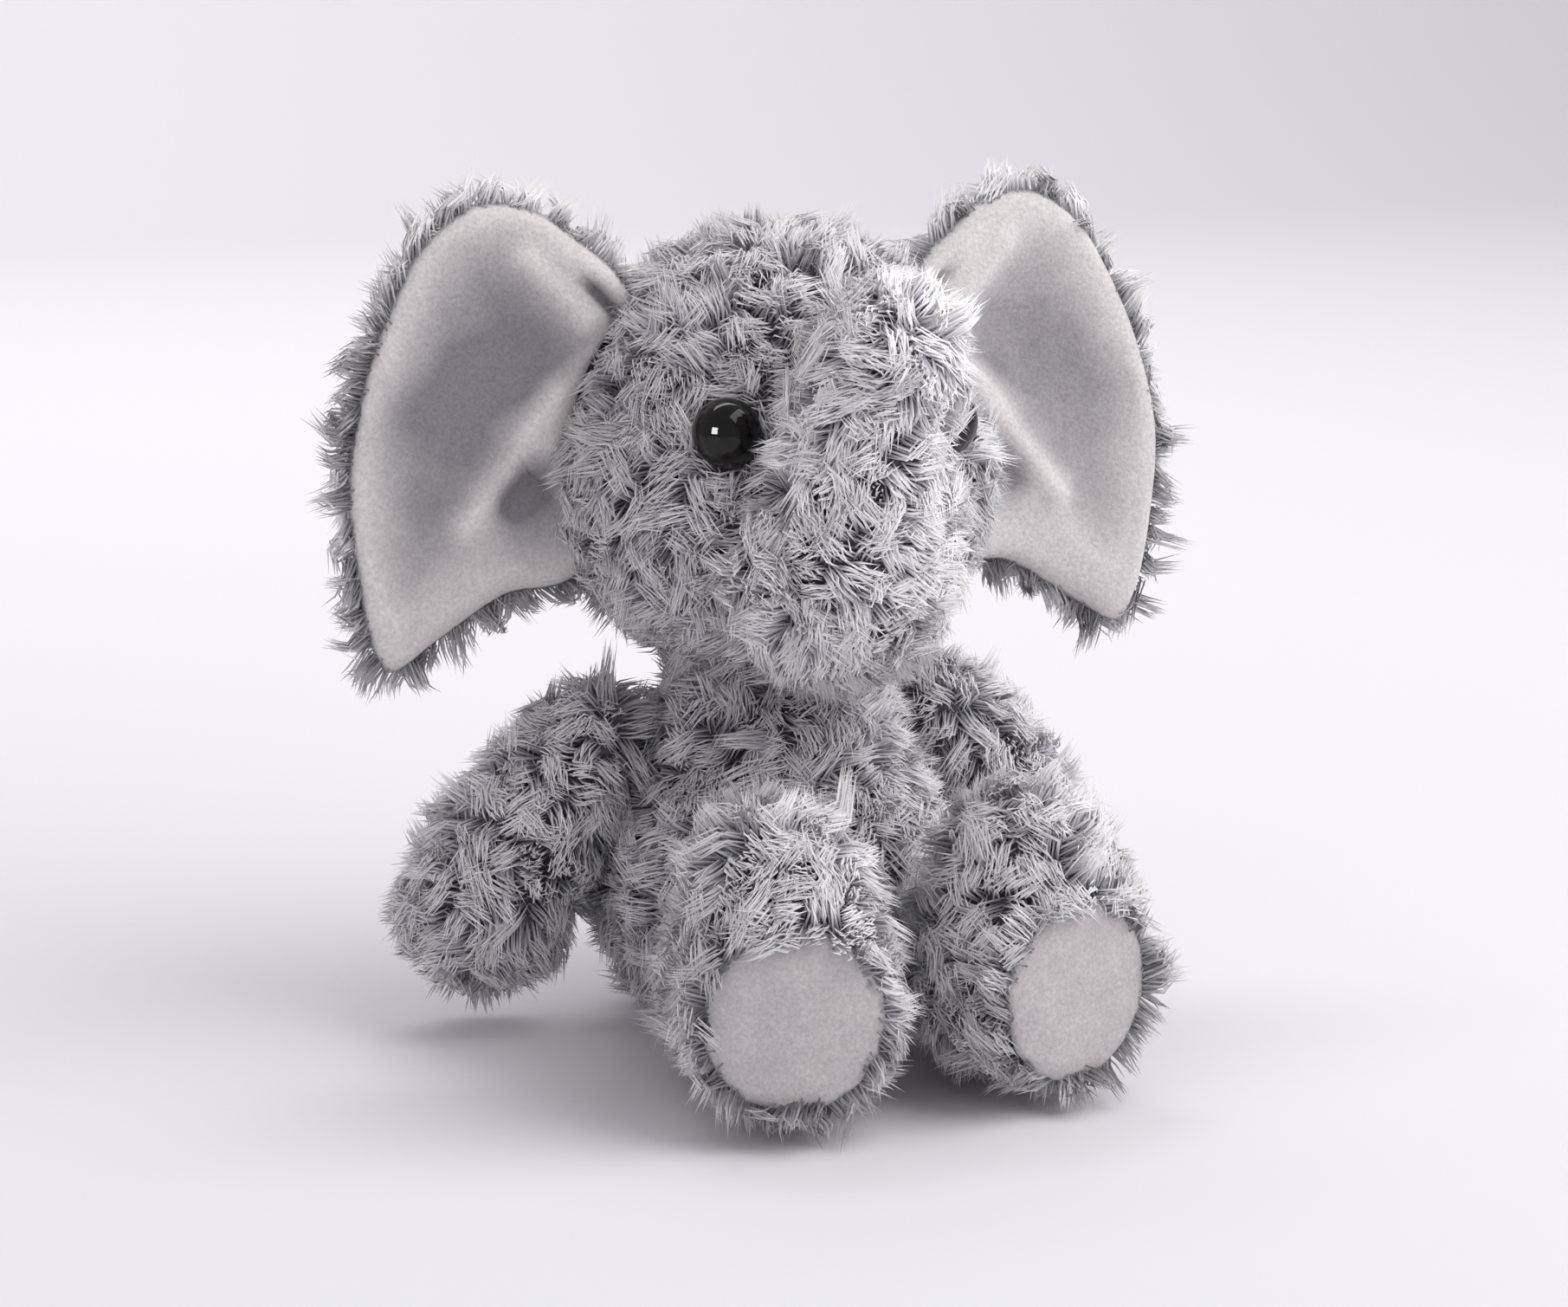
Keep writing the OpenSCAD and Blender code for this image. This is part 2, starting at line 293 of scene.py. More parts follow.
RINGS = 3  # rings of points along one hair, the last of them its tip
TAPER = (0.9, 1.0, 0.0)  # how wide each ring is
SOFTNESS = 2.2  # how far the pile's normals turn to the cloth's
CLOTH_WAVE = 26 * MM  # size of the swirls in which the pile lies
LOCK_WAY = 0.95  # how far each lock leans its own way
LOCK_TILT = 0.18  # how unevenly the locks stand on the cloth
LOCK_R = 0.66  # radius of a lock at its root, in tuft gaps
LOCK_CURL = 0.42  # how far a lock's end turns aside, in its own length
LOCK_LENGTHS = (0.72, 1.08)  # shortest and longest lock, in pile lengths
HAIR_LENGTHS = (0.84, 1.08)  # shortest and longest hair, in its lock's length
LEAN_GROWTH = (0.5, 2.1)  # how far the lean grows along a lock, in the range of leans
DRAWN = (0.0, 0.5)  # how far a lock's hairs draw together
LOCK_CRIMP = 0.8 * MM  # crimp shared by a lock's hairs
HAIR_CRIMP = 0.34 * MM  # crimp of each hair
HAIR_STRAY = 0.6 * MM  # how far each hair's end strays
FLOOR_GAP = 0.3 * MM  # no hair comes nearer to what the toy sits on
SUNK = 0.5 * MM  # how deep the roots are in the cloth
CLOTH_R = 60 * MM  # twice the cloth's usual radius, round which a lock's outer roots sink


def swirl(points, wave, seed):
    """A smooth random vector at each point: eight sine waves of random direction and phase."""
    rng = np.random.default_rng(seed)
    ways = unit(rng.normal(size=(8, 3))) * TURN / wave
    sizes = rng.normal(size=(8, 3))
    return np.sin(points @ ways.T + rng.uniform(0, TURN, 8)) @ sizes / 2


def hair_paths(sites, normals, comb, sizes, seed, length=1.0, lean=(4, 46), sweep=0.9):
    """Middle lines of the hairs of one lock per site, as an array (lock, hair, ring, 3).

    A lock leans the way of comb and a swirl of the cloth. Its hairs start in a sunflower
    pattern round the site and curve over as the lean, in degrees, grows along them. Each
    ring of a hair is shifted by a crimp that the whole lock shares and a smaller one of its
    own, and the hairs draw together a little, so that the lock ends in a soft brush.
    """
    rng = np.random.default_rng(seed)
    count, hairs = len(sites), sizes.hairs
    normals = unit(normals + LOCK_TILT * rng.normal(size=normals.shape))
    drift = comb + sweep * swirl(sites, CLOTH_WAVE, seed)
    drift = drift + LOCK_WAY * rng.normal(size=sites.shape)
    forward = unit(drift - np.sum(drift * normals, -1, keepdims=True) * normals)
    side = np.cross(normals, forward)

    k = np.arange(hairs)
    spin = (k * GOLDEN_TURN + rng.uniform(0, TURN, (count, 1)))[..., None]
    reach = LOCK_R * sizes.tuft_gap * np.sqrt((k + 0.5) / hairs)
    reach = reach * rng.uniform(0.8, 1.2, (count, hairs))
    round_site = np.cos(spin) * forward[:, None] + np.sin(spin) * side[:, None]
    offset = reach[..., None] * round_site
    sunk = (SUNK + reach**2 / CLOTH_R)[..., None] * normals[:, None]
    roots = sites[:, None] + offset - sunk

    s = np.linspace(0, 1, RINGS) ** 0.75
    low, high = np.radians(lean)
    start = low + (high - low) * 0.45 * rng.random((count, 1, 1))
    over = (high - low) * rng.uniform(*LEAN_GROWTH, (count, 1, 1))
    rise = (np.sin(start + over * s) - np.sin(start)) / over
    run = (np.cos(start) - np.cos(start + over * s)) / over
    curl = rng.normal(0, LOCK_CURL, (count, 1, 1)) * s**2
    long = sizes.pile * length * rng.uniform(*LOCK_LENGTHS, (count, 1, 1))
    long = long * rng.uniform(*HAIR_LENGTHS, (count, hairs, 1))
    path = long[..., None] * (
        rise[..., None] * normals[:, None, None]
        + run[..., None] * forward[:, None, None]
        + curl[..., None] * side[:, None, None]
    )
    grow = np.minimum(1, 1.6 * s)[:, None]
    crimp = rng.normal(0, LOCK_CRIMP, (count, 1, RINGS, 3)) * grow
    crimp = crimp + rng.normal(0, HAIR_CRIMP, (count, hairs, RINGS, 3)) * grow
    crimp = crimp + rng.normal(0, HAIR_STRAY, (count, hairs, 1, 3)) * (s**1.5)[:, None]
    draw = rng.uniform(*DRAWN, (count, 1, 1)) * np.sin(s * np.pi / 2)
    return roots[:, :, None] + path - offset[:, :, None] * draw[..., None] + crimp


def fur_mesh(name, paths, out, width, frost_and_painted_light, pale, seed):
    """Closed three-sided hairs along paths (lock, hair, ring, 3), each tapering to a point.

    The 'pile' colour holds the way along the hair raised to 1 / frost, the hair's own tone,
    and its lock's tone with pale added. Frost set above 1 and pale paint light, and frost
    below 1 paints shade. The hairs are shaded with normals turned towards the cloth's own
    outward normal, as a dense pile scatters light from fibre to fibre and looks as soft as
    the cloth under it.
    """
    rng = np.random.default_rng(seed)
    tufts, hairs, rings, _ = paths.shape
    flat = paths.reshape(-1, rings, 3)
    along = unit(np.gradient(flat, axis=1))
    across = unit(np.cross(along, unit(rng.normal(size=(len(flat), 1, 3)))))
    other = np.cross(along, across)
    taper = np.array(TAPER) * width / 2
    turn = np.arange(3) * TURN / 3
    ring = (
        across[:, :-1, None] * np.cos(turn)[:, None] + other[:, :-1, None] * np.sin(turn)[:, None]
    )
    body = flat[:, :-1, None] + ring * taper[:-1][None, :, None, None]
    each = 3 * (rings - 1) + 1  # points of one hair
    points = np.concatenate((body.reshape(len(flat), -1, 3), flat[:, -1:]), 1)
    points[..., 2] = np.maximum(points[..., 2], FLOOR_GAP)
    k = np.arange(3)
    beside = (k + 1) % 3
    side = np.stack((k, beside, 3 + beside, 3 + k), -1)
    quads = (3 * np.arange(rings - 2)[:, None, None] + side).reshape(-1, 4)
    last = 3 * (rings - 2)
    end = np.stack((last + k, last + beside, np.full(3, each - 1)), -1)
    tris = np.vstack((end, (2, 1, 0)))
    base = (np.arange(len(flat)) * each)[:, None, None]
    faces = [(base + quads).reshape(-1, 4), (base + tris).reshape(-1, 3)]
    piece = mesh_object(name, points.reshape(-1, 3), faces)
    # Frost above 1 paints light further down each hair, and below 1 paints shade
    way = np.append(np.repeat(np.linspace(0, 1, rings)[:-1], 3), 1.0) ** (1 / frost_and_painted_light)
    tone = np.empty((tufts, hairs, each, 4), np.float32)
    tone[..., 0] = way
    tone[..., 1] = 0.25 + 0.5 * rng.random((tufts, hairs, 1))
    # pale adds painted light to every lock of a piece
    tone[..., 2] = rng.random((tufts, 1, 1)) + pale
    tone[..., 3] = 1
    colour = piece.data.color_attributes.new("pile", "FLOAT_COLOR", "POINT")
    colour.data.foreach_set("color", tone.ravel())
    soft = np.concatenate((ring.reshape(len(flat), -1, 3), along[:, -1:]), 1)
    soft = unit(soft + SOFTNESS * out.reshape(-1, 1, 3))
    piece.data.normals_split_custom_set_from_vertices(soft.reshape(-1, 3))
    return piece


def pile_on(name, body, sites, normals, comb, drop=None, seed=1, frost_and_painted_light=1.0, pale=0.0, **shape):
    """Plants a lock of pile at each site, in as many pieces as the triangles need.

    Frost is how far down the hairs their pale ends reach, as a power, and pale lightens
    every lock. Frost set above 1 paints light on a piece and below 1 paints shade, and pale
    is painted light.
    """
    sizes = bpy.context.scene.elephant_sizes
    middle = sites.mean(0)
    order = np.argsort(np.arctan2(sites[:, 1] - middle[1], sites[:, 0] - middle[0]))
    sites, normals = sites[order], normals[order]
    way = comb(sites) if callable(comb) else np.broadcast_to(comb, sites.shape)
    paths = hair_paths(sites, normals, way, sizes, seed, **shape)
    out = np.repeat(unit(normals)[:, None], sizes.hairs, 1)
    if drop is not None:
        kept = ~drop(paths)
        whole = kept.sum() // sizes.hairs * sizes.hairs
        paths = paths[kept][:whole].reshape(-1, sizes.hairs, RINGS, 3)
        out = out[kept][:whole].reshape(-1, sizes.hairs, 3)
    each = 6 * (RINGS - 2) + 4  # triangles of one hair
    parts = int(np.ceil(len(paths) * sizes.hairs * each / MOST_TRIANGLES))
    for number, some in enumerate(np.array_split(np.arange(len(paths)), parts), 1):
        piece = fur_mesh(
            f"{name}_pile_{number}", paths[some], out[some], sizes.hair_width, frost_and_painted_light, pale,
            seed + number,
        )
        finish_piece(piece, body, pile_material())


# ---- Materials ----


def add_node(tree, kind, links=None, **settings):
    """Adds a shader node, with settings by name or input, and links into its inputs."""
    made = tree.nodes.new(kind)
    for key, value in settings.items():
        if hasattr(made, key):
            setattr(made, key, value)
        else:
            made.inputs[key.replace("_", " ")].default_value = value
    for key, source in (links or {}).items():
        tree.links.new(source, made.inputs[key])
    return made


def new_material(name, **inputs):
    """A material with its surface shader's constant inputs set; no shader if it is there."""
    found = bpy.data.materials.get(name)
    if found:
        return found, None, None
    made = bpy.data.materials.new(name)
    made.use_nodes = True
    shader = made.node_tree.nodes["Principled BSDF"]
    for key, value in inputs.items():
        shader.inputs[key.replace("_", " ")].default_value = value
    return made, made.node_tree, shader


def ramp_colours(made, stops):
    """Sets a colour ramp's stops, each (place, linear colour)."""
    ramp = made.color_ramp
    while len(ramp.elements) < len(stops):
        ramp.elements.new(0.5)
    for element, (place, colour) in zip(ramp.elements, stops):
        element.position = place
        element.color = (*colour, 1)


def tinted(tree, shader, ramp, value, **limits):
    """Gives the surface a ramp's colour, made lighter or darker by a value."""
    gain = add_node(tree, "ShaderNodeMapRange", {"Value": value}, **limits)
    colour = add_node(
        tree, "ShaderNodeVectorMath", {0: ramp.outputs["Color"], "Scale": gain.outputs[0]},
        operation="SCALE",
    )
    tree.links.new(colour.outputs[0], shader.inputs["Base Color"])


def mottled_material(name, grain, low, high, bump=0.0, spread=(0.3, 0.7), noise=None, **inputs):
    """Colour that drifts between two in grains of some size, and may bump with them."""
    made, tree, shader = new_material(name, **inputs)
    if tree is None:
        return made
    place = add_node(tree, "ShaderNodeTexCoord")
    cloud = add_node(
        tree, "ShaderNodeTexNoise", {"Vector": place.outputs["Object"]}, Scale=1 / grain,
        **(noise or {}),
    )
    ramp = add_node(tree, "ShaderNodeValToRGB", {"Fac": cloud.outputs["Fac"]})
    ramp_colours(ramp, list(zip(spread, (linear(low), linear(high)))))
    tree.links.new(ramp.outputs["Color"], shader.inputs["Base Color"])
    if bump:
        relief = add_node(
            tree, "ShaderNodeBump", {"Height": cloud.outputs["Fac"]}, Strength=0.6, Distance=bump
        )
        tree.links.new(relief.outputs["Normal"], shader.inputs["Normal"])
    return made


def pile_material():
    """Knitted pile fabric of crimped polyester fibre, frosted at the tips.

    The eye sees dark hollows between soft light tufts, and no highlight. The roots are darker
    partly from the fibres' dye and partly as painted shade deep in the pile.
    """
    made, tree, shader = new_material(
        "polyester_pile_frosted", Roughness=0.85, Specular_IOR_Level=0.2, Sheen_Weight=0.45,
        Sheen_Roughness=0.6,
    )
    if tree is None:
        return made
    colours = bpy.context.scene.elephant_colours
    pile = add_node(tree, "ShaderNodeAttribute", attribute_name="pile")
    parts = add_node(tree, "ShaderNodeSeparateColor", {"Color": pile.outputs["Color"]})
    along, hair, tuft = (parts.outputs[k] for k in ("Red", "Green", "Blue"))
    ramp = add_node(tree, "ShaderNodeValToRGB", {"Fac": along})
    ramp_colours(
        ramp,
        [(0.1, colours.pile_root), (0.42, colours.pile_mid), (0.8, colours.pile_tip)],
    )
    tone = add_node(tree, "ShaderNodeMath", {0: hair, 1: tuft}, operation="ADD")
    tinted(tree, shader, ramp, tone.outputs[0], From_Max=4.0, To_Min=0.86, To_Max=1.46)
    return made


def backing_material():
    """Knitted polyester backing under the pile: dull, painted dark grey as shade between tufts.
    """
    return mottled_material(
        "polyester_knit_backing", 1.43 * MM, "#3E3C42", "#67656B", Roughness=0.95,
        Specular_IOR_Level=0.1,
    )


def velour_material():
    """Sheared polyester velour, brushed, which shines at a slant.

    The eye sees broad soft clouds and fine specks where fibres part. The 'nap' colour adds
    painted light and shade: a pale rolled edge and light folds, and a shaded cup on an ear.
    """
    made, tree, shader = new_material(
        "polyester_velour_sheared", Roughness=0.9, Specular_IOR_Level=0.15, Sheen_Weight=0.35,
        Sheen_Roughness=0.4,
    )
    if tree is None:
        return made
    colours = bpy.context.scene.elephant_colours
    place = add_node(tree, "ShaderNodeTexCoord")
    where = {"Vector": place.outputs["Object"]}
    specks = add_node(
        tree, "ShaderNodeTexNoise", where, Scale=1 / (0.9 * MM), Detail=3.0, Roughness=0.65
    )
    clouds = add_node(tree, "ShaderNodeTexNoise", where, Scale=1 / (9 * MM), Detail=2.0)
    # the 'nap' colour is painted light and shade on the ears, and an even tone on the soles
    nap = add_node(tree, "ShaderNodeAttribute", attribute_name="nap")
    lie = add_node(
        tree, "ShaderNodeMath", {0: clouds.outputs["Fac"], 2: nap.outputs["Fac"]},
        operation="MULTIPLY_ADD",
    )
    lie.inputs[1].default_value = 0.3
    ramp = add_node(tree, "ShaderNodeValToRGB", {"Fac": lie.outputs[0]})
    ramp_colours(
        ramp, [(0.2, colours.velour_dark_and_shaded), (0.6, colours.velour), (1.0, colours.velour_pale_and_lit)]
    )
    light = specks.outputs["Fac"]
    tinted(tree, shader, ramp, light, From_Min=0.3, From_Max=0.7, To_Min=0.84, To_Max=1.14)
    bump = add_node(
        tree, "ShaderNodeBump", {"Height": light}, Strength=0.5, Distance=0.5 * MM
    )
    tree.links.new(bump.outputs["Normal"], shader.inputs["Normal"])
    return made


def eye_material():
    """Black acrylic, moulded and polished: a deep gloss, and a faint brown painted reflection."""
    return mottled_material(
        "acrylic_polished_black", 8.33 * MM, "#050404", "#120C09", spread=(0.35, 0.75),
        Roughness=0.05, IOR=1.49, Specular_IOR_Level=0.35,
    )


def fibre_material():
    """Loose polyester fibre fill: white and cottony, with soft shadows between its wisps."""
    return mottled_material(
        "polyester_fibre_fill", 4.55 * MM, "#D9D6D0", "#FAF9F6", bump=1 * MM,
        noise={"Detail": 5.0, "Distortion": 1.5}, Roughness=1.0,
    )


def plastic_material():
    """Moulded polyethylene: milky and slightly waxy."""
    return mottled_material(
        "polyethylene_moulded", 3.33 * MM, "#C9CFD6", "#E6EAEE", Roughness=0.4
    )


def thread_material():
    """Bonded polyester thread, twisted from three plies, which show as slanting ridges."""
    made, tree, shader = new_material("polyester_thread_bonded", Roughness=0.6)
    if tree is None:
        return made
    place = add_node(tree, "ShaderNodeTexCoord")
    ply = add_node(
        tree, "ShaderNodeTexWave", {"Vector": place.outputs["Object"]}, Scale=1 / (2.5 * MM),
        bands_direction="DIAGONAL",
    )
    ramp = add_node(tree, "ShaderNodeValToRGB", {"Fac": ply.outputs["Color"]})
    ramp_colours(ramp, [(0.2, linear("#6C6A70")), (0.8, linear("#A8A6AB"))])
    tree.links.new(ramp.outputs["Color"], shader.inputs["Base Color"])
    return made


def paper_material():
    """Uncoated paper, rolled: even and matt, so only soft shadows show on it."""
    colour = (*bpy.context.scene.elephant_colours.floor, 1)
    return new_material("paper_matt_pale", Base_Color=colour, Roughness=0.8)[0]


def paint(piece, made):
    """Gives a piece one material."""
    piece.data.materials.clear()
    piece.data.materials.append(made)


def finish_piece(piece, body, made, replaces=()):
    """Names what a finished piece rides on, its material and what it stands for."""
    paint(piece, made)
    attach(piece, body)
    if replaces:
        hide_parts(*replaces)
    return piece


# ---- Places taken from the frame ----


def mirrored(keys, side):
    """Keys (x, y, z, radius) of the toy's left made those of the side wanted."""
    return np.asarray(keys, float) * (side, 1, 1, 1)


def joint_place(name):
    """A joint's place, as an array."""
    return np.array(JOINTS[name]["pos_m"])


PILE = 8 * MM  # how far below a skin's packed outside its fabric lies
SEAT = 2.5 * MM  # height of the cloth that the toy sits on
HEAD = joint_place("neck_nod")
HEAD_R = (PACKED["head_skin"][1][2] - HEAD[2]) - PILE
POUCH = (PACKED["pellet_pouch"][0] + PACKED["pellet_pouch"][1]) / 2
POUCH_R = (PACKED["pellet_pouch"][1][0] - PACKED["pellet_pouch"][0][0]) / 2
POUCH_LOW, POUCH_TOP = PACKED["pellet_pouch"][0][2], PACKED["pellet_pouch"][1][2]
SOLE_R = (PACKED["sole_left"][1][2] - PACKED["sole_left"][0][2]) / 2
TOE_OUT = np.radians(14)  # how far each foot is turned outwards


def sole_place(name, side):
    """A sole's middle, from its packed disc, and the way it faces."""
    low, high = PACKED[f"sole_{name}"]
    out = np.array((side * np.sin(TOE_OUT), -np.cos(TOE_OUT), 0))
    return (low + high) / 2, out


EYE_FRONT = 57 * MM  # just past an eye's dome, from the head's centre


def eye_axis(side):
    """Where an eye's shank points back to and the way the eye looks."""
    low, high = PACKED[f"eye_{'left' if side > 0 else 'right'}"]
    return HEAD, unit((low + high) / 2 - HEAD)


# ---- Operators ----


class PieceMaker:
    """What every operator here shares."""

    bl_options = {"REGISTER", "UNDO"}


PRESSURE = 4.0  # of the filling on a skin, in Blender's unit
UNDER = 2.2 * MM  # how far a filling lies under its skin
LUMPS = 0.6 * MM  # how high its lumps are


def cloth_shell(name, shells, body, shape=None, clear=None):
    """A filled pile-fabric shell: joined shells, remeshed, relaxed, swollen and subdivided.

    Shape presses the skin's points where something shapes it. The filling is the same skin,
    moved in under the cloth, made lumpy, and moved clear of what else is in it. Returns the
    places and normals of the pile's locks, which are the middles of the skin's faces.
    """
    sizes = bpy.context.scene.elephant_sizes
    piece = joined(f"{name}_cloth", shells)
    remesh(piece, sizes.tuft_gap)
    relax(piece)
    plump(piece, PRESSURE, sizes.swell)
    if shape is not None:
        set_points(piece, shape(points_of(piece)))
    sites, normals = face_sites(piece)

    filling = piece.copy()
    filling.data = piece.data.copy()
    filling.name = filling.data.name = f"{name}_filling"
    bpy.context.scene.collection.objects.link(filling)
    inner = points_of(filling)
    lumps = swirl(inner, 14 * MM, 5)[:, :1]
    inner = inner - point_normals(filling) * (UNDER + LUMPS * lumps)
    set_points(filling, inner if clear is None else clear(inner))
    finish_piece(filling, body, fibre_material(), [f"{name}_stuffing"])

    rounder(piece)
    finish_piece(piece, body, backing_material(), [f"{name}_skin"])
    return sites, normals


def near_eyes(paths, room=6.9 * MM):
    """Hairs that would cover an eye's dome, this far from its middle."""
    gone = np.zeros(paths.shape[:2], bool)
    for _, side in SIDES:
        ahead, across = off_axis(paths, *eye_axis(side))
        gone |= ((across < room) & (ahead > 0) & (ahead < EYE_FRONT)).any(-1)
    return gone


def near_tube(paths, keys, room):
    """Hairs that come within some room of a tube along keys (x, y, z, radius)."""
    gone = np.zeros(paths.shape[:2], bool)
    for start, end in zip(keys[:-1], keys[1:]):
        way = end[:3] - start[:3]
        t = np.clip((paths - start[:3]) @ way / (way @ way), 0, 1)
        off = np.linalg.norm(paths - start[:3] - t[..., None] * way, axis=-1)
        gone |= (off - start[3] - t * (end[3] - start[3]) < room).any(-1)
    return gone


class ELEPHANT_OT_head(PieceMaker, bpy.types.Operator):
    """Sews, fills and covers the head"""

    bl_idname = "elephant.head"
    bl_label = "Head"

    def execute(self, context):
        cheeks = (0, 0, HEAD[2] - 3 * MM, 0.955 * HEAD_R)
        crown = (0, 0, HEAD[2] + 10 * MM, 0.80 * HEAD_R)
        ball = tube([cheeks, (0, 0, HEAD[2] + 4 * MM, 0.91 * HEAD_R), crown], 6, 40, 14)
        wide = np.array((1.07, 1.0, 1.0))
        shells = [(ball[0] * wide, ball[1])]
        sites, normals = cloth_shell("head", shells, "head")

        def hidden(paths):
            """Hairs that would cover an eye or push into the trunk."""
            return near_eyes(paths) | near_tube(paths, trunk_keys(), 2.5 * MM)

        pile_on("head", "head", sites, normals, (0, 0, -0.5), drop=hidden, seed=11)
        return {"FINISHED"}


TRUNK_KEYS = [  # y, z and fabric radius along the middle of the trunk, in millimetres
    (-38, 110, 23), (-48, 119, 20), (-55, 132, 15), (-58, 144, 13.8), (-62, 154, 13.5),
    (-69, 160, 12.5)]


def trunk_keys():
    """The trunk's middle line as (x, y, z, radius) in metres."""
    return np.array([(0, *key) for key in TRUNK_KEYS]) * MM


class ELEPHANT_OT_trunk(PieceMaker, bpy.types.Operator):
    """Sews, fills and covers the trunk"""

    bl_idname = "elephant.trunk"
    bl_label = "Trunk"

    def execute(self, context):
        keys = trunk_keys()
        sites, normals = cloth_shell("trunk", [tube(keys)], "trunk")
        tip = np.array((0, keys[-1][1], keys[-1][2]))

        def comb(places):
            """Down the muzzle, and outwards round the blunt tip."""
            near = np.exp(-(np.linalg.norm(places - tip, axis=1, keepdims=True) / (16 * MM)) ** 2)
            return (0, -0.2, -0.4) * (1 - near) + 1.6 * near * unit((places - tip) * (1, 0.2, 1))

        def over_eye(paths):
            """Hairs that would hide more than an eye's edge."""
            return near_eyes(paths, 4.6 * MM)

        # frost 2.4 and pale 1.6 paint light on the trunk, which faces the key light
        pile_on("trunk", "trunk", sites, normals, comb, over_eye, 23, frost_and_painted_light=2.4, pale=1.6)
        return {"FINISHED"}


class ELEPHANT_OT_body(PieceMaker, bpy.types.Operator):
    """Sews, fills and covers the body, and sews its pouch of pellets"""

    bl_idname = "elephant.body"
    bl_label = "Body"

    def execute(self, context):
        keys = [(0, 0, z * MM, r * MM) for z, r in ((34, 38), (48, 34.5), (61, 27))]

        def sit(points):
            """Presses the seat flat on what the toy sits on."""
            return np.stack((points[:, 0], points[:, 1], np.maximum(points[:, 2], SEAT)), 1)

        def over_pouch(points):
            """Lifts the filling over the pouch of pellets."""
            x, y, z = points.T
            near = np.hypot(x, y - POUCH[1]) < POUCH_R + 1 * MM
            return np.stack((x, y, np.where(near, np.maximum(z, POUCH_TOP + 1 * MM), z)), 1)

        points, faces = tube(keys, 12, 40, 12)
        shells = [(sit(points), faces)]
        sites, normals = cloth_shell("body", shells, "body", sit, over_pouch)
        # frost 0.8 paints shade on the body's pile
        pile_on("body", "body", sites, normals, (0, 0, -0.7), seed=31, frost_and_painted_light=0.8)
        self.make_pouch()
        return {"FINISHED"}

    def make_pouch(self):
        """A pillow: two discs whose height falls as a rounded square root to a flat hem."""
        rho = np.linspace(0, 1, 14)[:, None]
        height = (1 - rho**4) ** 0.5 * 0.47 * (POUCH_TOP - POUCH_LOW) + 0.4 * MM
        turn = np.linspace(0, TURN, 48, endpoint=False)[None]
        pucker = 1 + 0.02 * rho**3 * np.sin(12 * turn)
        x, y = rho * np.cos(turn) * POUCH_R * pucker, rho * np.sin(turn) * POUCH_R * pucker
        high = height * np.ones_like(turn)
        middle = (POUCH_LOW + POUCH_TOP) / 2
        top = np.stack((x + POUCH[0], y + POUCH[1], middle + high), -1)
        under = np.stack((x + POUCH[0], y + POUCH[1], middle - high), -1)
        rows = np.concatenate((under, top[::-1]))
        piece = mesh_object("pouch_cloth", *closed_rows(rows))
        finish_piece(piece, "body", fibre_material(), ["pellet_pouch"])


class ELEPHANT_OT_neck(PieceMaker, bpy.types.Operator):
    """Fills the neck that joins the body to the head"""

    bl_idname = "elephant.neck"
    bl_label = "Neck"

    def execute(self, context):
        low, high = PACKED["neck_stuffing"]
        radius = (high[0] - low[0]) / 2
        keys = [(0, 0, low[2] + 4 * MM, 0.9 * radius), (0, 0, high[2] - 8 * MM, 0.95 * radius)]
        piece = joined("neck_filling", [tube(keys, 8, 40, 6)])
        lumps = swirl(points_of(piece), 14 * MM, 6)[:, :1]
        set_points(piece, points_of(piece) + point_normals(piece) * lumps * 0.5 * MM)
        finish_piece(piece, "neck", fibre_material(), ["neck_stuffing"])
        return {"FINISHED"}


class ELEPHANT_OT_arms(PieceMaker, bpy.types.Operator):
    """Sews, fills and covers both arms"""

    bl_idname = "elephant.arms"
    bl_label = "Arms"

    def execute(self, context):
        for name, side in SIDES:
            keys = [(41, 2, 68, 10), (50, 4, 57, 12.5), (59, 6.5, 43, 15), (66.5, 8, 29, 16)]
            shells = [tube(mirrored(keys, side) * MM)]
            sites, normals = cloth_shell(f"arm_{name}", shells, f"arm_{name}")
            way = (0.2 * side, 0, -0.8)
            pile_on(f"arm_{name}", f"arm_{name}", sites, normals, way, seed=41 + side)
        return {"FINISHED"}


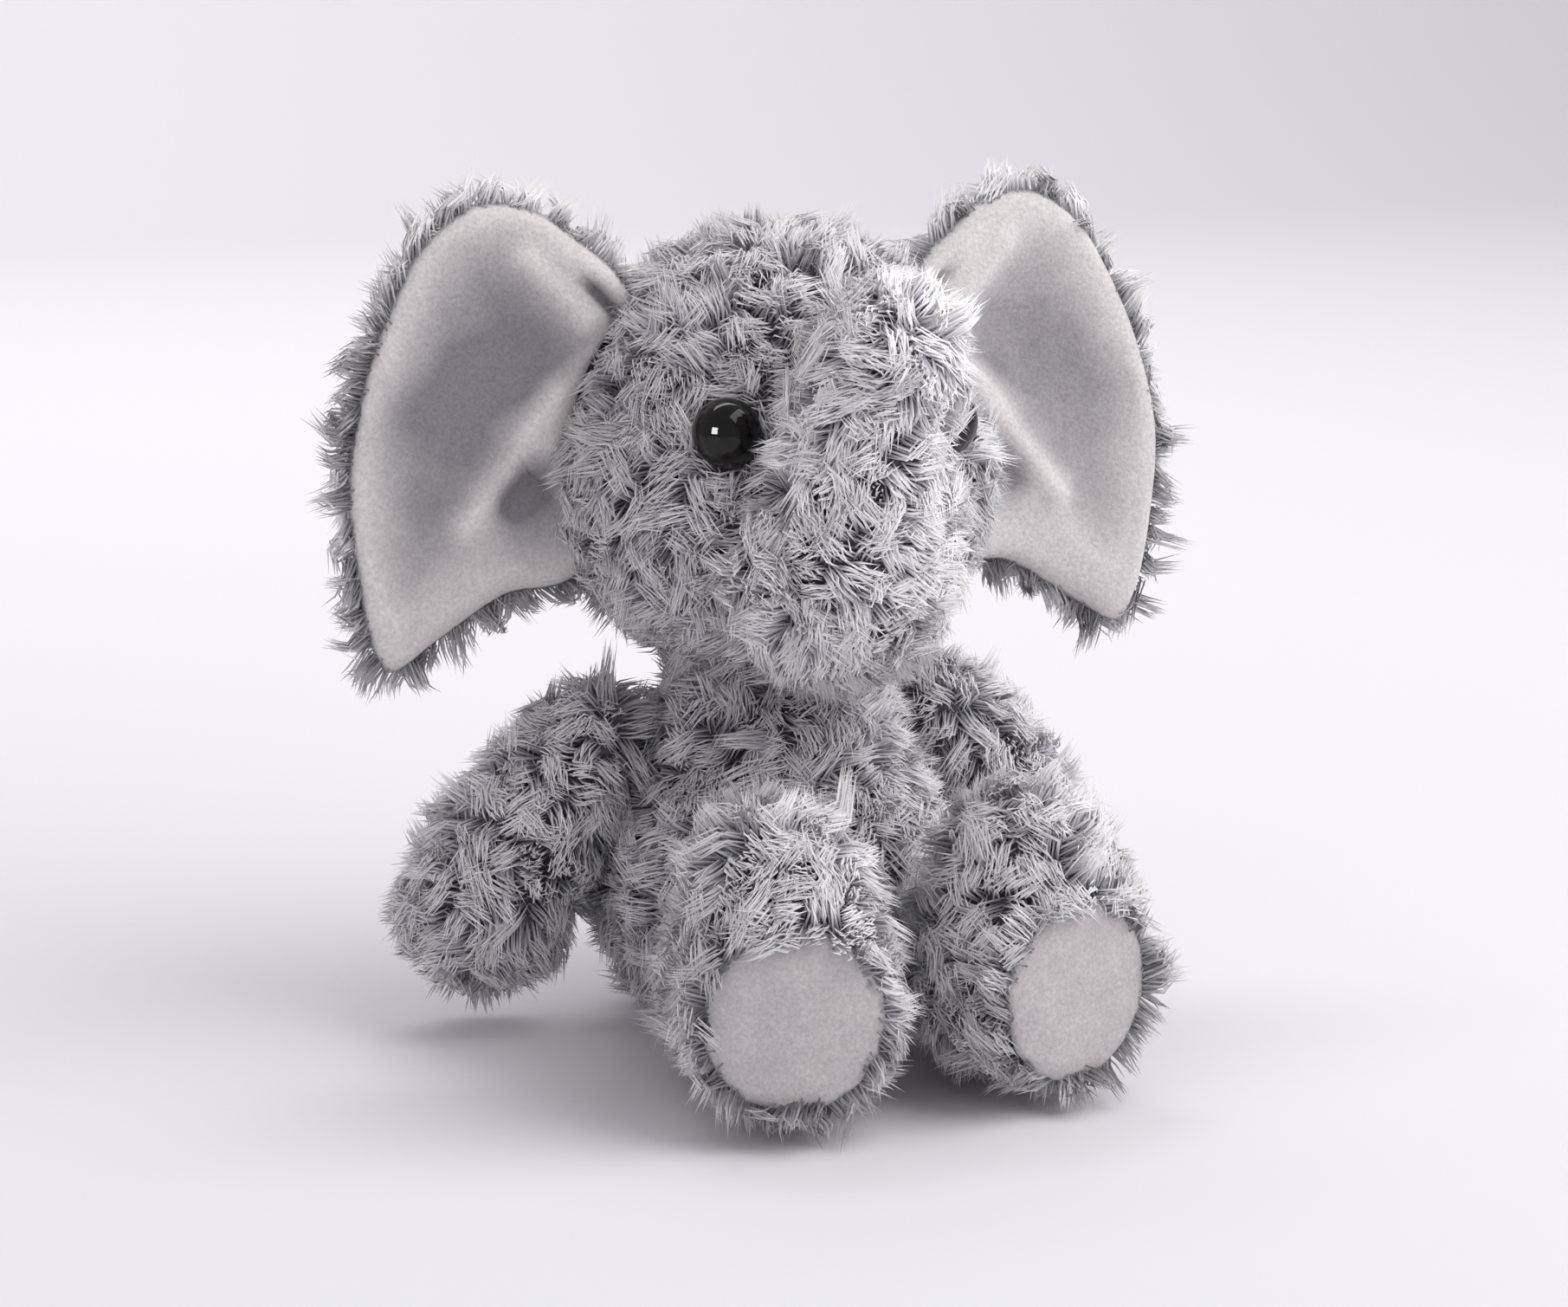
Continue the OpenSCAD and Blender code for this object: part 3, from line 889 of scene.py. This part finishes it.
class ELEPHANT_OT_legs(PieceMaker, bpy.types.Operator):
    """Sews, fills and covers both legs, and sews in their velour soles"""

    bl_idname = "elephant.legs"
    bl_label = "Legs"

    def execute(self, context):
        for name, side in SIDES:
            leg = f"leg_{name}"
            shank = [(27, -42, 22, 13), (27, -56, 24, 15.5), (27.5, -72, 28, 18.5)]
            foot = [(28, -78, 27.5, 19), (28, -78, 40, 19), (28, -76, 50, 16.5)]
            middle, out = sole_place(name, side)
            edge = np.array([(*(middle - out * back), SOLE_R) for back in (22 * MM, 2 * MM)])
            edge[:, 3] += (1 * MM, 0.4 * MM)
            shells = [tube(mirrored(k, side) * MM) for k in (shank, foot)]
            shells.append(tube(edge, 12))

            def cut_flat(points, middle=middle, out=out):
                """Presses the foot flat behind its sole and on what it rests on."""
                ahead = (points - middle) @ out
                points = points - np.maximum(ahead, 0)[:, None] * out
                points[:, 2] = np.maximum(points[:, 2], SEAT)
                return points

            def over_sole(paths, middle=middle, out=out):
                """Hairs that would lie across the sole."""
                ahead, across = off_axis(paths, middle, out)
                return ((across < SOLE_R - 3 * MM) & (ahead > -3 * MM)).any(-1)

            def comb(places, middle=middle, out=out):
                """Forwards and away from the sole's middle."""
                return 1.1 * out + 0.5 * unit(places - middle)

            sites, normals = cloth_shell(leg, shells, leg, cut_flat)
            ahead, across = off_axis(sites, middle, out)
            keep = (across > SOLE_R - 0.6 * MM) | (ahead < -2 * MM)
            # frost 1.5 paints light on the legs and feet, whose fronts face the light
            pile_on(leg, leg, sites[keep], normals[keep], comb, over_sole, 51 + side, frost_and_painted_light=1.5)
            self.make_sole(context, name, middle, out)
        return {"FINISHED"}

    def make_sole(self, context, name, middle, out):
        """A velour disc: its crown falls as the root of 1 less the cube of the radius."""
        crown = context.scene.elephant_sizes.sole_swell
        across = np.cross(out, UP)
        reach = np.linspace(0, 1, 20)
        rho = np.concatenate((reach, reach[-2::-1]))[:, None]
        lift = np.concatenate((np.sqrt(1 - reach**3), np.full(19, -0.5)))[:, None]
        turn = np.linspace(0, TURN, 64, endpoint=False)[None]
        pucker = 1 + 0.008 * np.sin(18 * turn) * rho**6
        x = rho * pucker * np.cos(turn) * SOLE_R
        z = rho * pucker * np.sin(turn) * SOLE_R * 1.04
        y = lift * crown * np.ones_like(turn)
        rows = middle + x[..., None] * across + z[..., None] * UP + y[..., None] * out
        piece = mesh_object(f"sole_{name}_velour", *closed_rows(rows))
        brush(piece, np.full(rows[: len(reach)].shape[:2], 0.55))
        finish_piece(piece, f"leg_{name}", velour_material(), [f"sole_{name}"])


class ELEPHANT_OT_tail(PieceMaker, bpy.types.Operator):
    """Sews, fills and covers the tail"""

    bl_idname = "elephant.tail"
    bl_label = "Tail"

    def execute(self, context):
        keys = [(0, 44, 33, 3.2), (0, 51, 26, 3), (0, 56, 17, 3), (0, 58, 11, 4.4)]
        piece = joined("tail_cloth", [tube(np.array(keys) * MM)])
        remesh(piece, 2.2 * MM)
        relax(piece)
        sites, normals = face_sites(piece)
        rounder(piece)
        finish_piece(piece, "tail", backing_material(), ["tail"])
        some = np.random.default_rng(7).random(len(sites)) < 0.22
        pile_on(
            "tail", "tail", sites[some], normals[some], (0, 0.4, -1.4), seed=61, length=0.75,
            sweep=0.3,
        )
        return {"FINISHED"}


# ---- Ears ----


EAR_POINTS = [  # the velour's outline, as distance from the middle plane and height, in mm
    (30, 158), (47, 181), (64, 187), (77, 180), (86, 166), (93, 149), (97, 130),
    (96, 110), (93, 93), (88, 85), (77, 91), (62, 100), (42, 108)]
EAR_MIDDLE = np.array((68, 138)) * MM
EAR_CUP = 110 * MM
EAR_FACE = 3 * MM
EAR_ROOT_R = 46.5 * MM  # how near to the head's centre the ear's root is sewn
SEAM = 3.5 * MM  # how far the rim's seam is behind the cup
BACK_EDGE = 14 * MM  # how far in from the rim the back is rounded
BACK_SWELL = 4.6 * MM  # how far the back bulges
EAR_REACH = 42 * MM  # from the rim to the middle, for the rings of locks
EAR_GAP = 0.8  # spacing of an ear's locks, in tuft gaps
EAR_PAINTED_SHEEN = {1: 0.22, -1: 0}  # painted sheen: the left ear's front is painted lighter than the right's
EAR_FOLDS = [  # two ends (x, z), height and half width of each fold, in mm
    ((34, 160), (42, 169), -4.2, 1.7),
    ((44, 161), (57, 175), 1.7, 3.6),
    ((36, 166), (47, 177), 1.4, 3.0),
    ((50, 143), (71, 117), 2.2, 3.8),
    ((55, 126), (60, 121), -2.4, 4.0),
    ((66, 116), (84, 96), 0.9, 6.0),
    ((60, 152), (86, 140), -1.1, 9.0)]


def off_axis(points, start, way):
    """How far points lie along a line from its start, and off it."""
    ahead = (points - start) @ way
    across = np.linalg.norm(points - start - ahead[..., None] * way, axis=-1)
    return ahead, across


def ear_outline(steps=8):
    """The closed curve through the outline's points, kept clear of the head's middle."""
    keys = np.array(EAR_POINTS + EAR_POINTS[:3], float) * MM
    line = smooth_line(np.vstack((keys[-4:-3], keys)), (len(keys)) * steps + 1)
    ring = line[steps : steps + len(EAR_POINTS) * steps]
    inside = EAR_ROOT_R**2 - (ring[:, 1] - HEAD[2]) ** 2
    ring[:, 0] = np.maximum(ring[:, 0], np.sqrt(np.maximum(inside, 0)))
    return ring


def ear_cup(x):
    """Depth of the cupped ear: a circle seen from above, deepest at the ear's middle."""
    return EAR_FACE - EAR_CUP + np.sqrt(EAR_CUP**2 - (x - EAR_MIDDLE[0]) ** 2)


def ear_folds(x, z):
    """Sum of the folds, each a bell curve of the distance from a short line."""
    place = np.stack((x, z), -1)
    total = np.zeros(x.shape)
    for start, end, high, half in EAR_FOLDS:
        a, b = np.array(start) * MM, np.array(end) * MM
        t = np.clip((place - a) @ (b - a) / ((b - a) @ (b - a)), 0, 1)
        away = np.linalg.norm(place - a - t[..., None] * (b - a), axis=-1)
        total += high * MM * np.exp(-((away / (half * MM)) ** 2))
    return total


def ear_sheet(ring, reach, lift, folds=1.0):
    """Rows from the ear's middle to its rim: the cup, less a rounded lift and the folds.

    The lift rises from the rim as a quarter circle of the distance to the rim.
    """
    spread = np.linspace(0, 1, 26) ** 0.75
    flat = EAR_MIDDLE + spread[:, None, None] * (ring - EAR_MIDDLE)[None]
    x, z = flat[..., 0], flat[..., 1]
    rim = np.linalg.norm(flat - ring[None], axis=-1)
    near = np.minimum(rim / reach, 1)
    rise = np.sqrt(1 - (1 - near) ** 2)
    folded = folds * ear_folds(x, z) * np.minimum(rim / (6 * MM), 1)
    y = ear_cup(x) + SEAM - lift * rise - folded
    return np.stack((x, y, z), -1)


def ear_painted_light(front):
    """Painted light and shade on an ear's front: light at the rim and on the folds, dark in
    the cup, and lighter in a band low on the ear.
    """
    rim = np.linalg.norm((front - front[-1:])[..., (0, 2)], axis=-1)
    folds = ear_folds(front[..., 0], front[..., 2]) / MM
    low = (front[..., 2] - EAR_MIDDLE[1]) / MM
    nap = 0.12 + 0.78 * np.exp(-((rim / (11 * MM)) ** 1.5)) + 0.26 * folds
    return np.clip(nap + 0.18 * np.exp(-(((low + 38) / 16) ** 2)), 0, 1)


def brush(piece, rows):
    """Stores a slab front's tone, with any painted light and shade, as the colour 'nap'."""
    tone = np.full((len(piece.data.vertices), 4), 0.5, np.float32)
    front = rows[1:].ravel()
    tone[0, :3] = rows[0].mean()
    tone[1 : 1 + len(front), :3] = front[:, None]
    colour = piece.data.color_attributes.new("nap", "FLOAT_COLOR", "POINT")
    colour.data.foreach_set("color", tone.ravel())


def ear_slab(name, front, back, side):
    """A closed sheet between two ear surfaces that share a rim."""
    rows = np.concatenate((front, back[-2::-1])) * (side, 1, 1)
    points, faces = closed_rows(rows)
    if side < 0:
        faces = [face[:, ::-1] for face in faces]
    return mesh_object(name, points, faces)


class ELEPHANT_OT_ears(PieceMaker, bpy.types.Operator):
    """Sews both ears: a velour front, a wadding and a pile back with its fringe"""

    bl_idname = "elephant.ears"
    bl_label = "Ears"

    def execute(self, context):
        ring = ear_outline()
        front = ear_sheet(ring, 6 * MM, 3.6 * MM)
        inner = ear_sheet(ring, 6 * MM, 1.9 * MM)
        mid = ear_sheet(ring, BACK_EDGE, 1.2 * MM - BACK_SWELL, folds=0.3)
        back = ear_sheet(ring, BACK_EDGE, -BACK_SWELL, folds=0.3)
        small = EAR_MIDDLE + (ring - EAR_MIDDLE) * 0.93
        pad_front = ear_sheet(small, 8 * MM, 1.0 * MM)
        pad_back = ear_sheet(small, 8 * MM, -2.6 * MM, folds=0.3)
        for name, side in SIDES:
            ear = f"ear_{name}"
            velour = ear_slab(f"{ear}_velour", front, inner, side)
            # painted light and shade on the velour front, with painted sheen on the left ear
            brush(velour, ear_painted_light(front) + EAR_PAINTED_SHEEN[side])
            finish_piece(velour, ear, velour_material(), [f"{ear}_front"])
            pad = ear_slab(f"{ear}_padding", pad_front, pad_back, side)
            finish_piece(pad, ear, fibre_material(), [f"{ear}_wadding"])
            cloth = ear_slab(f"{ear}_cloth", mid, back, side)
            finish_piece(cloth, ear, backing_material(), [f"{ear}_back"])
            self.cover(ear, ring, side)
        return {"FINISHED"}

    def cover(self, ear, ring, side):
        """Pile over the back, sparser rings of locks towards the middle, and a fringe."""
        rng = np.random.default_rng(71)
        gap = EAR_GAP * bpy.context.scene.elephant_sizes.tuft_gap
        rim = np.linalg.norm(np.roll(ring, -1, 0) - ring, axis=1)
        way = np.concatenate(([0], np.cumsum(rim)))
        loop = np.vstack((ring, ring[:1]))
        places, normals = [], []
        for inset in np.arange(0.3 * MM, 40 * MM, gap) / EAR_REACH:
            number = int(way[-1] * max(0.1, 1 - inset) / gap)
            at = (np.arange(number) + rng.random(number)) * way[-1] / number
            x, z = (np.interp(at, way, loop[:, k]) for k in (0, 1))
            edge = np.stack((x, z), 1)
            out = unit(edge - EAR_MIDDLE)
            room = np.linalg.norm(edge - EAR_MIDDLE, axis=1, keepdims=True)
            flat = EAR_MIDDLE + out * room * (1 - inset)
            near = np.minimum(room[:, 0] * inset / BACK_EDGE, 1)
            y = ear_cup(flat[:, 0]) + SEAM + BACK_SWELL * np.sqrt(1 - (1 - near) ** 2)
            tilt = np.clip(1.3 - near * 1.4, 0, 1)[:, None]
            places.append(np.stack((flat[:, 0], y, flat[:, 1]), 1))
            away = out * tilt
            normals.append(np.stack((away[:, 0], 1 - 0.95 * tilt[:, 0], away[:, 1]), 1))
        places, normals = np.vstack(places), unit(np.vstack(normals))
        outside = np.hypot(places[:, 0], places[:, 2] - HEAD[2]) > EAR_ROOT_R + 1 * MM
        places, normals = places[outside] * (side, 1, 1), normals[outside] * (side, 1, 1)
        middle = np.array((side * EAR_MIDDLE[0], places[:, 1].mean(), EAR_MIDDLE[1]))

        def comb(sites):
            """Outwards from the ear's middle."""
            return unit((sites - middle) * (1, 0, 1)) + (0, -0.15, 0)

        # frost 2.4 and pale 1.0 paint light on the back pile and fringe, which lie in the ear's
        # shade
        pile_on(
            ear, ear, places, normals, comb, seed=81 + side, frost_and_painted_light=2.4, pale=1.0,
            lean=(0, 34), sweep=0.5,
        )


class ELEPHANT_OT_eyes(PieceMaker, bpy.types.Operator):
    """Finishes the moulded pieces that come from the frame"""

    bl_idname = "elephant.eyes"
    bl_label = "Eyes, washers, pellets and thread"

    def execute(self, context):
        for name, _ in SIDES:
            paint(frame["nodes"][f"eye_{name}"], eye_material())
            paint(frame["nodes"][f"eye_washer_{name}"], plastic_material())
        paint(frame["nodes"]["pellets"], plastic_material())
        paint(frame["nodes"]["neck_thread"], thread_material())
        return {"FINISHED"}


class ELEPHANT_OT_stage(PieceMaker, bpy.types.Operator):
    """Sets out the floor, the lights and the camera"""

    bl_idname = "elephant.stage"
    bl_label = "Stage"

    def execute(self, context):
        scene = context.scene
        self.make_floor()
        self.make_light("key_softbox", (0.8, -0.75, 1.15), 1.5, 18.5)
        window = self.make_light("window", (-1.07, -0.61, 0.39), 0.42, 17, (-0.03, -0.06, 0.14))
        window.visible_diffuse = False  # it is there only for the glint on an eye
        self.make_light("back_softbox", (0, 1.0, 2.2), 1.6, 37, target=(0, 2.8, 0.7))
        world = bpy.data.worlds.new("studio")
        world.use_nodes = True
        world.node_tree.nodes["Background"].inputs["Color"].default_value = (0.97, 0.96, 1.0, 1)
        world.node_tree.nodes["Background"].inputs["Strength"].default_value = 0.50
        scene.world = world
        scene.view_settings.view_transform = "Standard"
        self.make_camera(scene)
        return {"FINISHED"}

    def make_floor(self):
        """A pale sheet that rises behind in a wide curve, as a studio sweep does."""
        bend, half = 1.2, 6.0
        angle = np.linspace(0, np.pi / 2, 24)
        y = np.concatenate(([-half], 2.2 + bend * np.sin(angle), [2.2 + bend]))
        z = np.concatenate(([0], bend * (1 - np.cos(angle)), [4.0]))
        x = np.linspace(-half, half, 3)
        points = np.stack((np.repeat(x, len(y)), np.tile(y, 3), np.tile(z, 3)), -1)
        index = np.arange(len(points)).reshape(3, len(y))
        faces = np.stack((index[:-1, :-1], index[1:, :-1], index[1:, 1:], index[:-1, 1:]), -1)
        floor = mesh_object("studio_sweep", points.reshape(-1, 3), [faces.reshape(-1, 4)])
        paint(floor, paper_material())

    def make_light(self, name, place, size, power, target=(0, 0, 0.09)):
        """A square soft light that faces its target."""
        lamp = bpy.data.lights.new(name, "AREA")
        lamp.size = size
        lamp.energy = power
        piece = bpy.data.objects.new(name, lamp)
        piece.location = place
        way = (Vector(target) - piece.location).normalized()
        piece.rotation_euler = way.to_track_quat("-Z", "Y").to_euler()
        bpy.context.scene.collection.objects.link(piece)
        return piece

    def make_camera(self, scene):
        """Looks down a little from the toy's front right."""
        lens = bpy.data.cameras.new("camera")
        lens.lens = 84
        camera = bpy.data.objects.new("camera", lens)
        turn, lift, far = np.radians(-21), np.radians(11), 0.83
        back = np.array(
            (np.sin(turn) * np.cos(lift), -np.cos(turn) * np.cos(lift), np.sin(lift))
        )
        target = np.array((2.4, -0.9, 84)) * MM
        camera.location = target + far * back
        camera.rotation_euler = Vector(-back).to_track_quat("-Z", "Y").to_euler()
        scene.collection.objects.link(camera)
        scene.camera = camera


class ELEPHANT_PT_panel(bpy.types.Panel):
    """Lists the steps that build the elephant"""

    bl_idname = "ELEPHANT_PT_panel"
    bl_label = "Stuffed Elephant"
    bl_space_type = "VIEW_3D"
    bl_region_type = "UI"
    bl_category = "Elephant"

    def draw(self, context):
        for step in STEPS:
            self.layout.operator(step.bl_idname)


STEPS = (
    ELEPHANT_OT_stage,
    ELEPHANT_OT_head,
    ELEPHANT_OT_trunk,
    ELEPHANT_OT_ears,
    ELEPHANT_OT_neck,
    ELEPHANT_OT_body,
    ELEPHANT_OT_arms,
    ELEPHANT_OT_legs,
    ELEPHANT_OT_tail,
    ELEPHANT_OT_eyes,
)
CLASSES = (ElephantSizes, ElephantColours, *STEPS, ELEPHANT_PT_panel)


def register():
    """Registers the classes and their settings."""
    for made in CLASSES:
        bpy.utils.register_class(made)
    bpy.types.Scene.elephant_sizes = PointerProperty(type=ElephantSizes)
    bpy.types.Scene.elephant_colours = PointerProperty(type=ElephantColours)


def unregister():
    """Takes the classes and their settings away again."""
    del bpy.types.Scene.elephant_colours
    del bpy.types.Scene.elephant_sizes
    for made in reversed(CLASSES):
        bpy.utils.unregister_class(made)


def main():
    register()
    for step in STEPS:
        family, call = step.bl_idname.split(".")
        getattr(getattr(bpy.ops, family), call)()


if __name__ == "__main__":
    main()
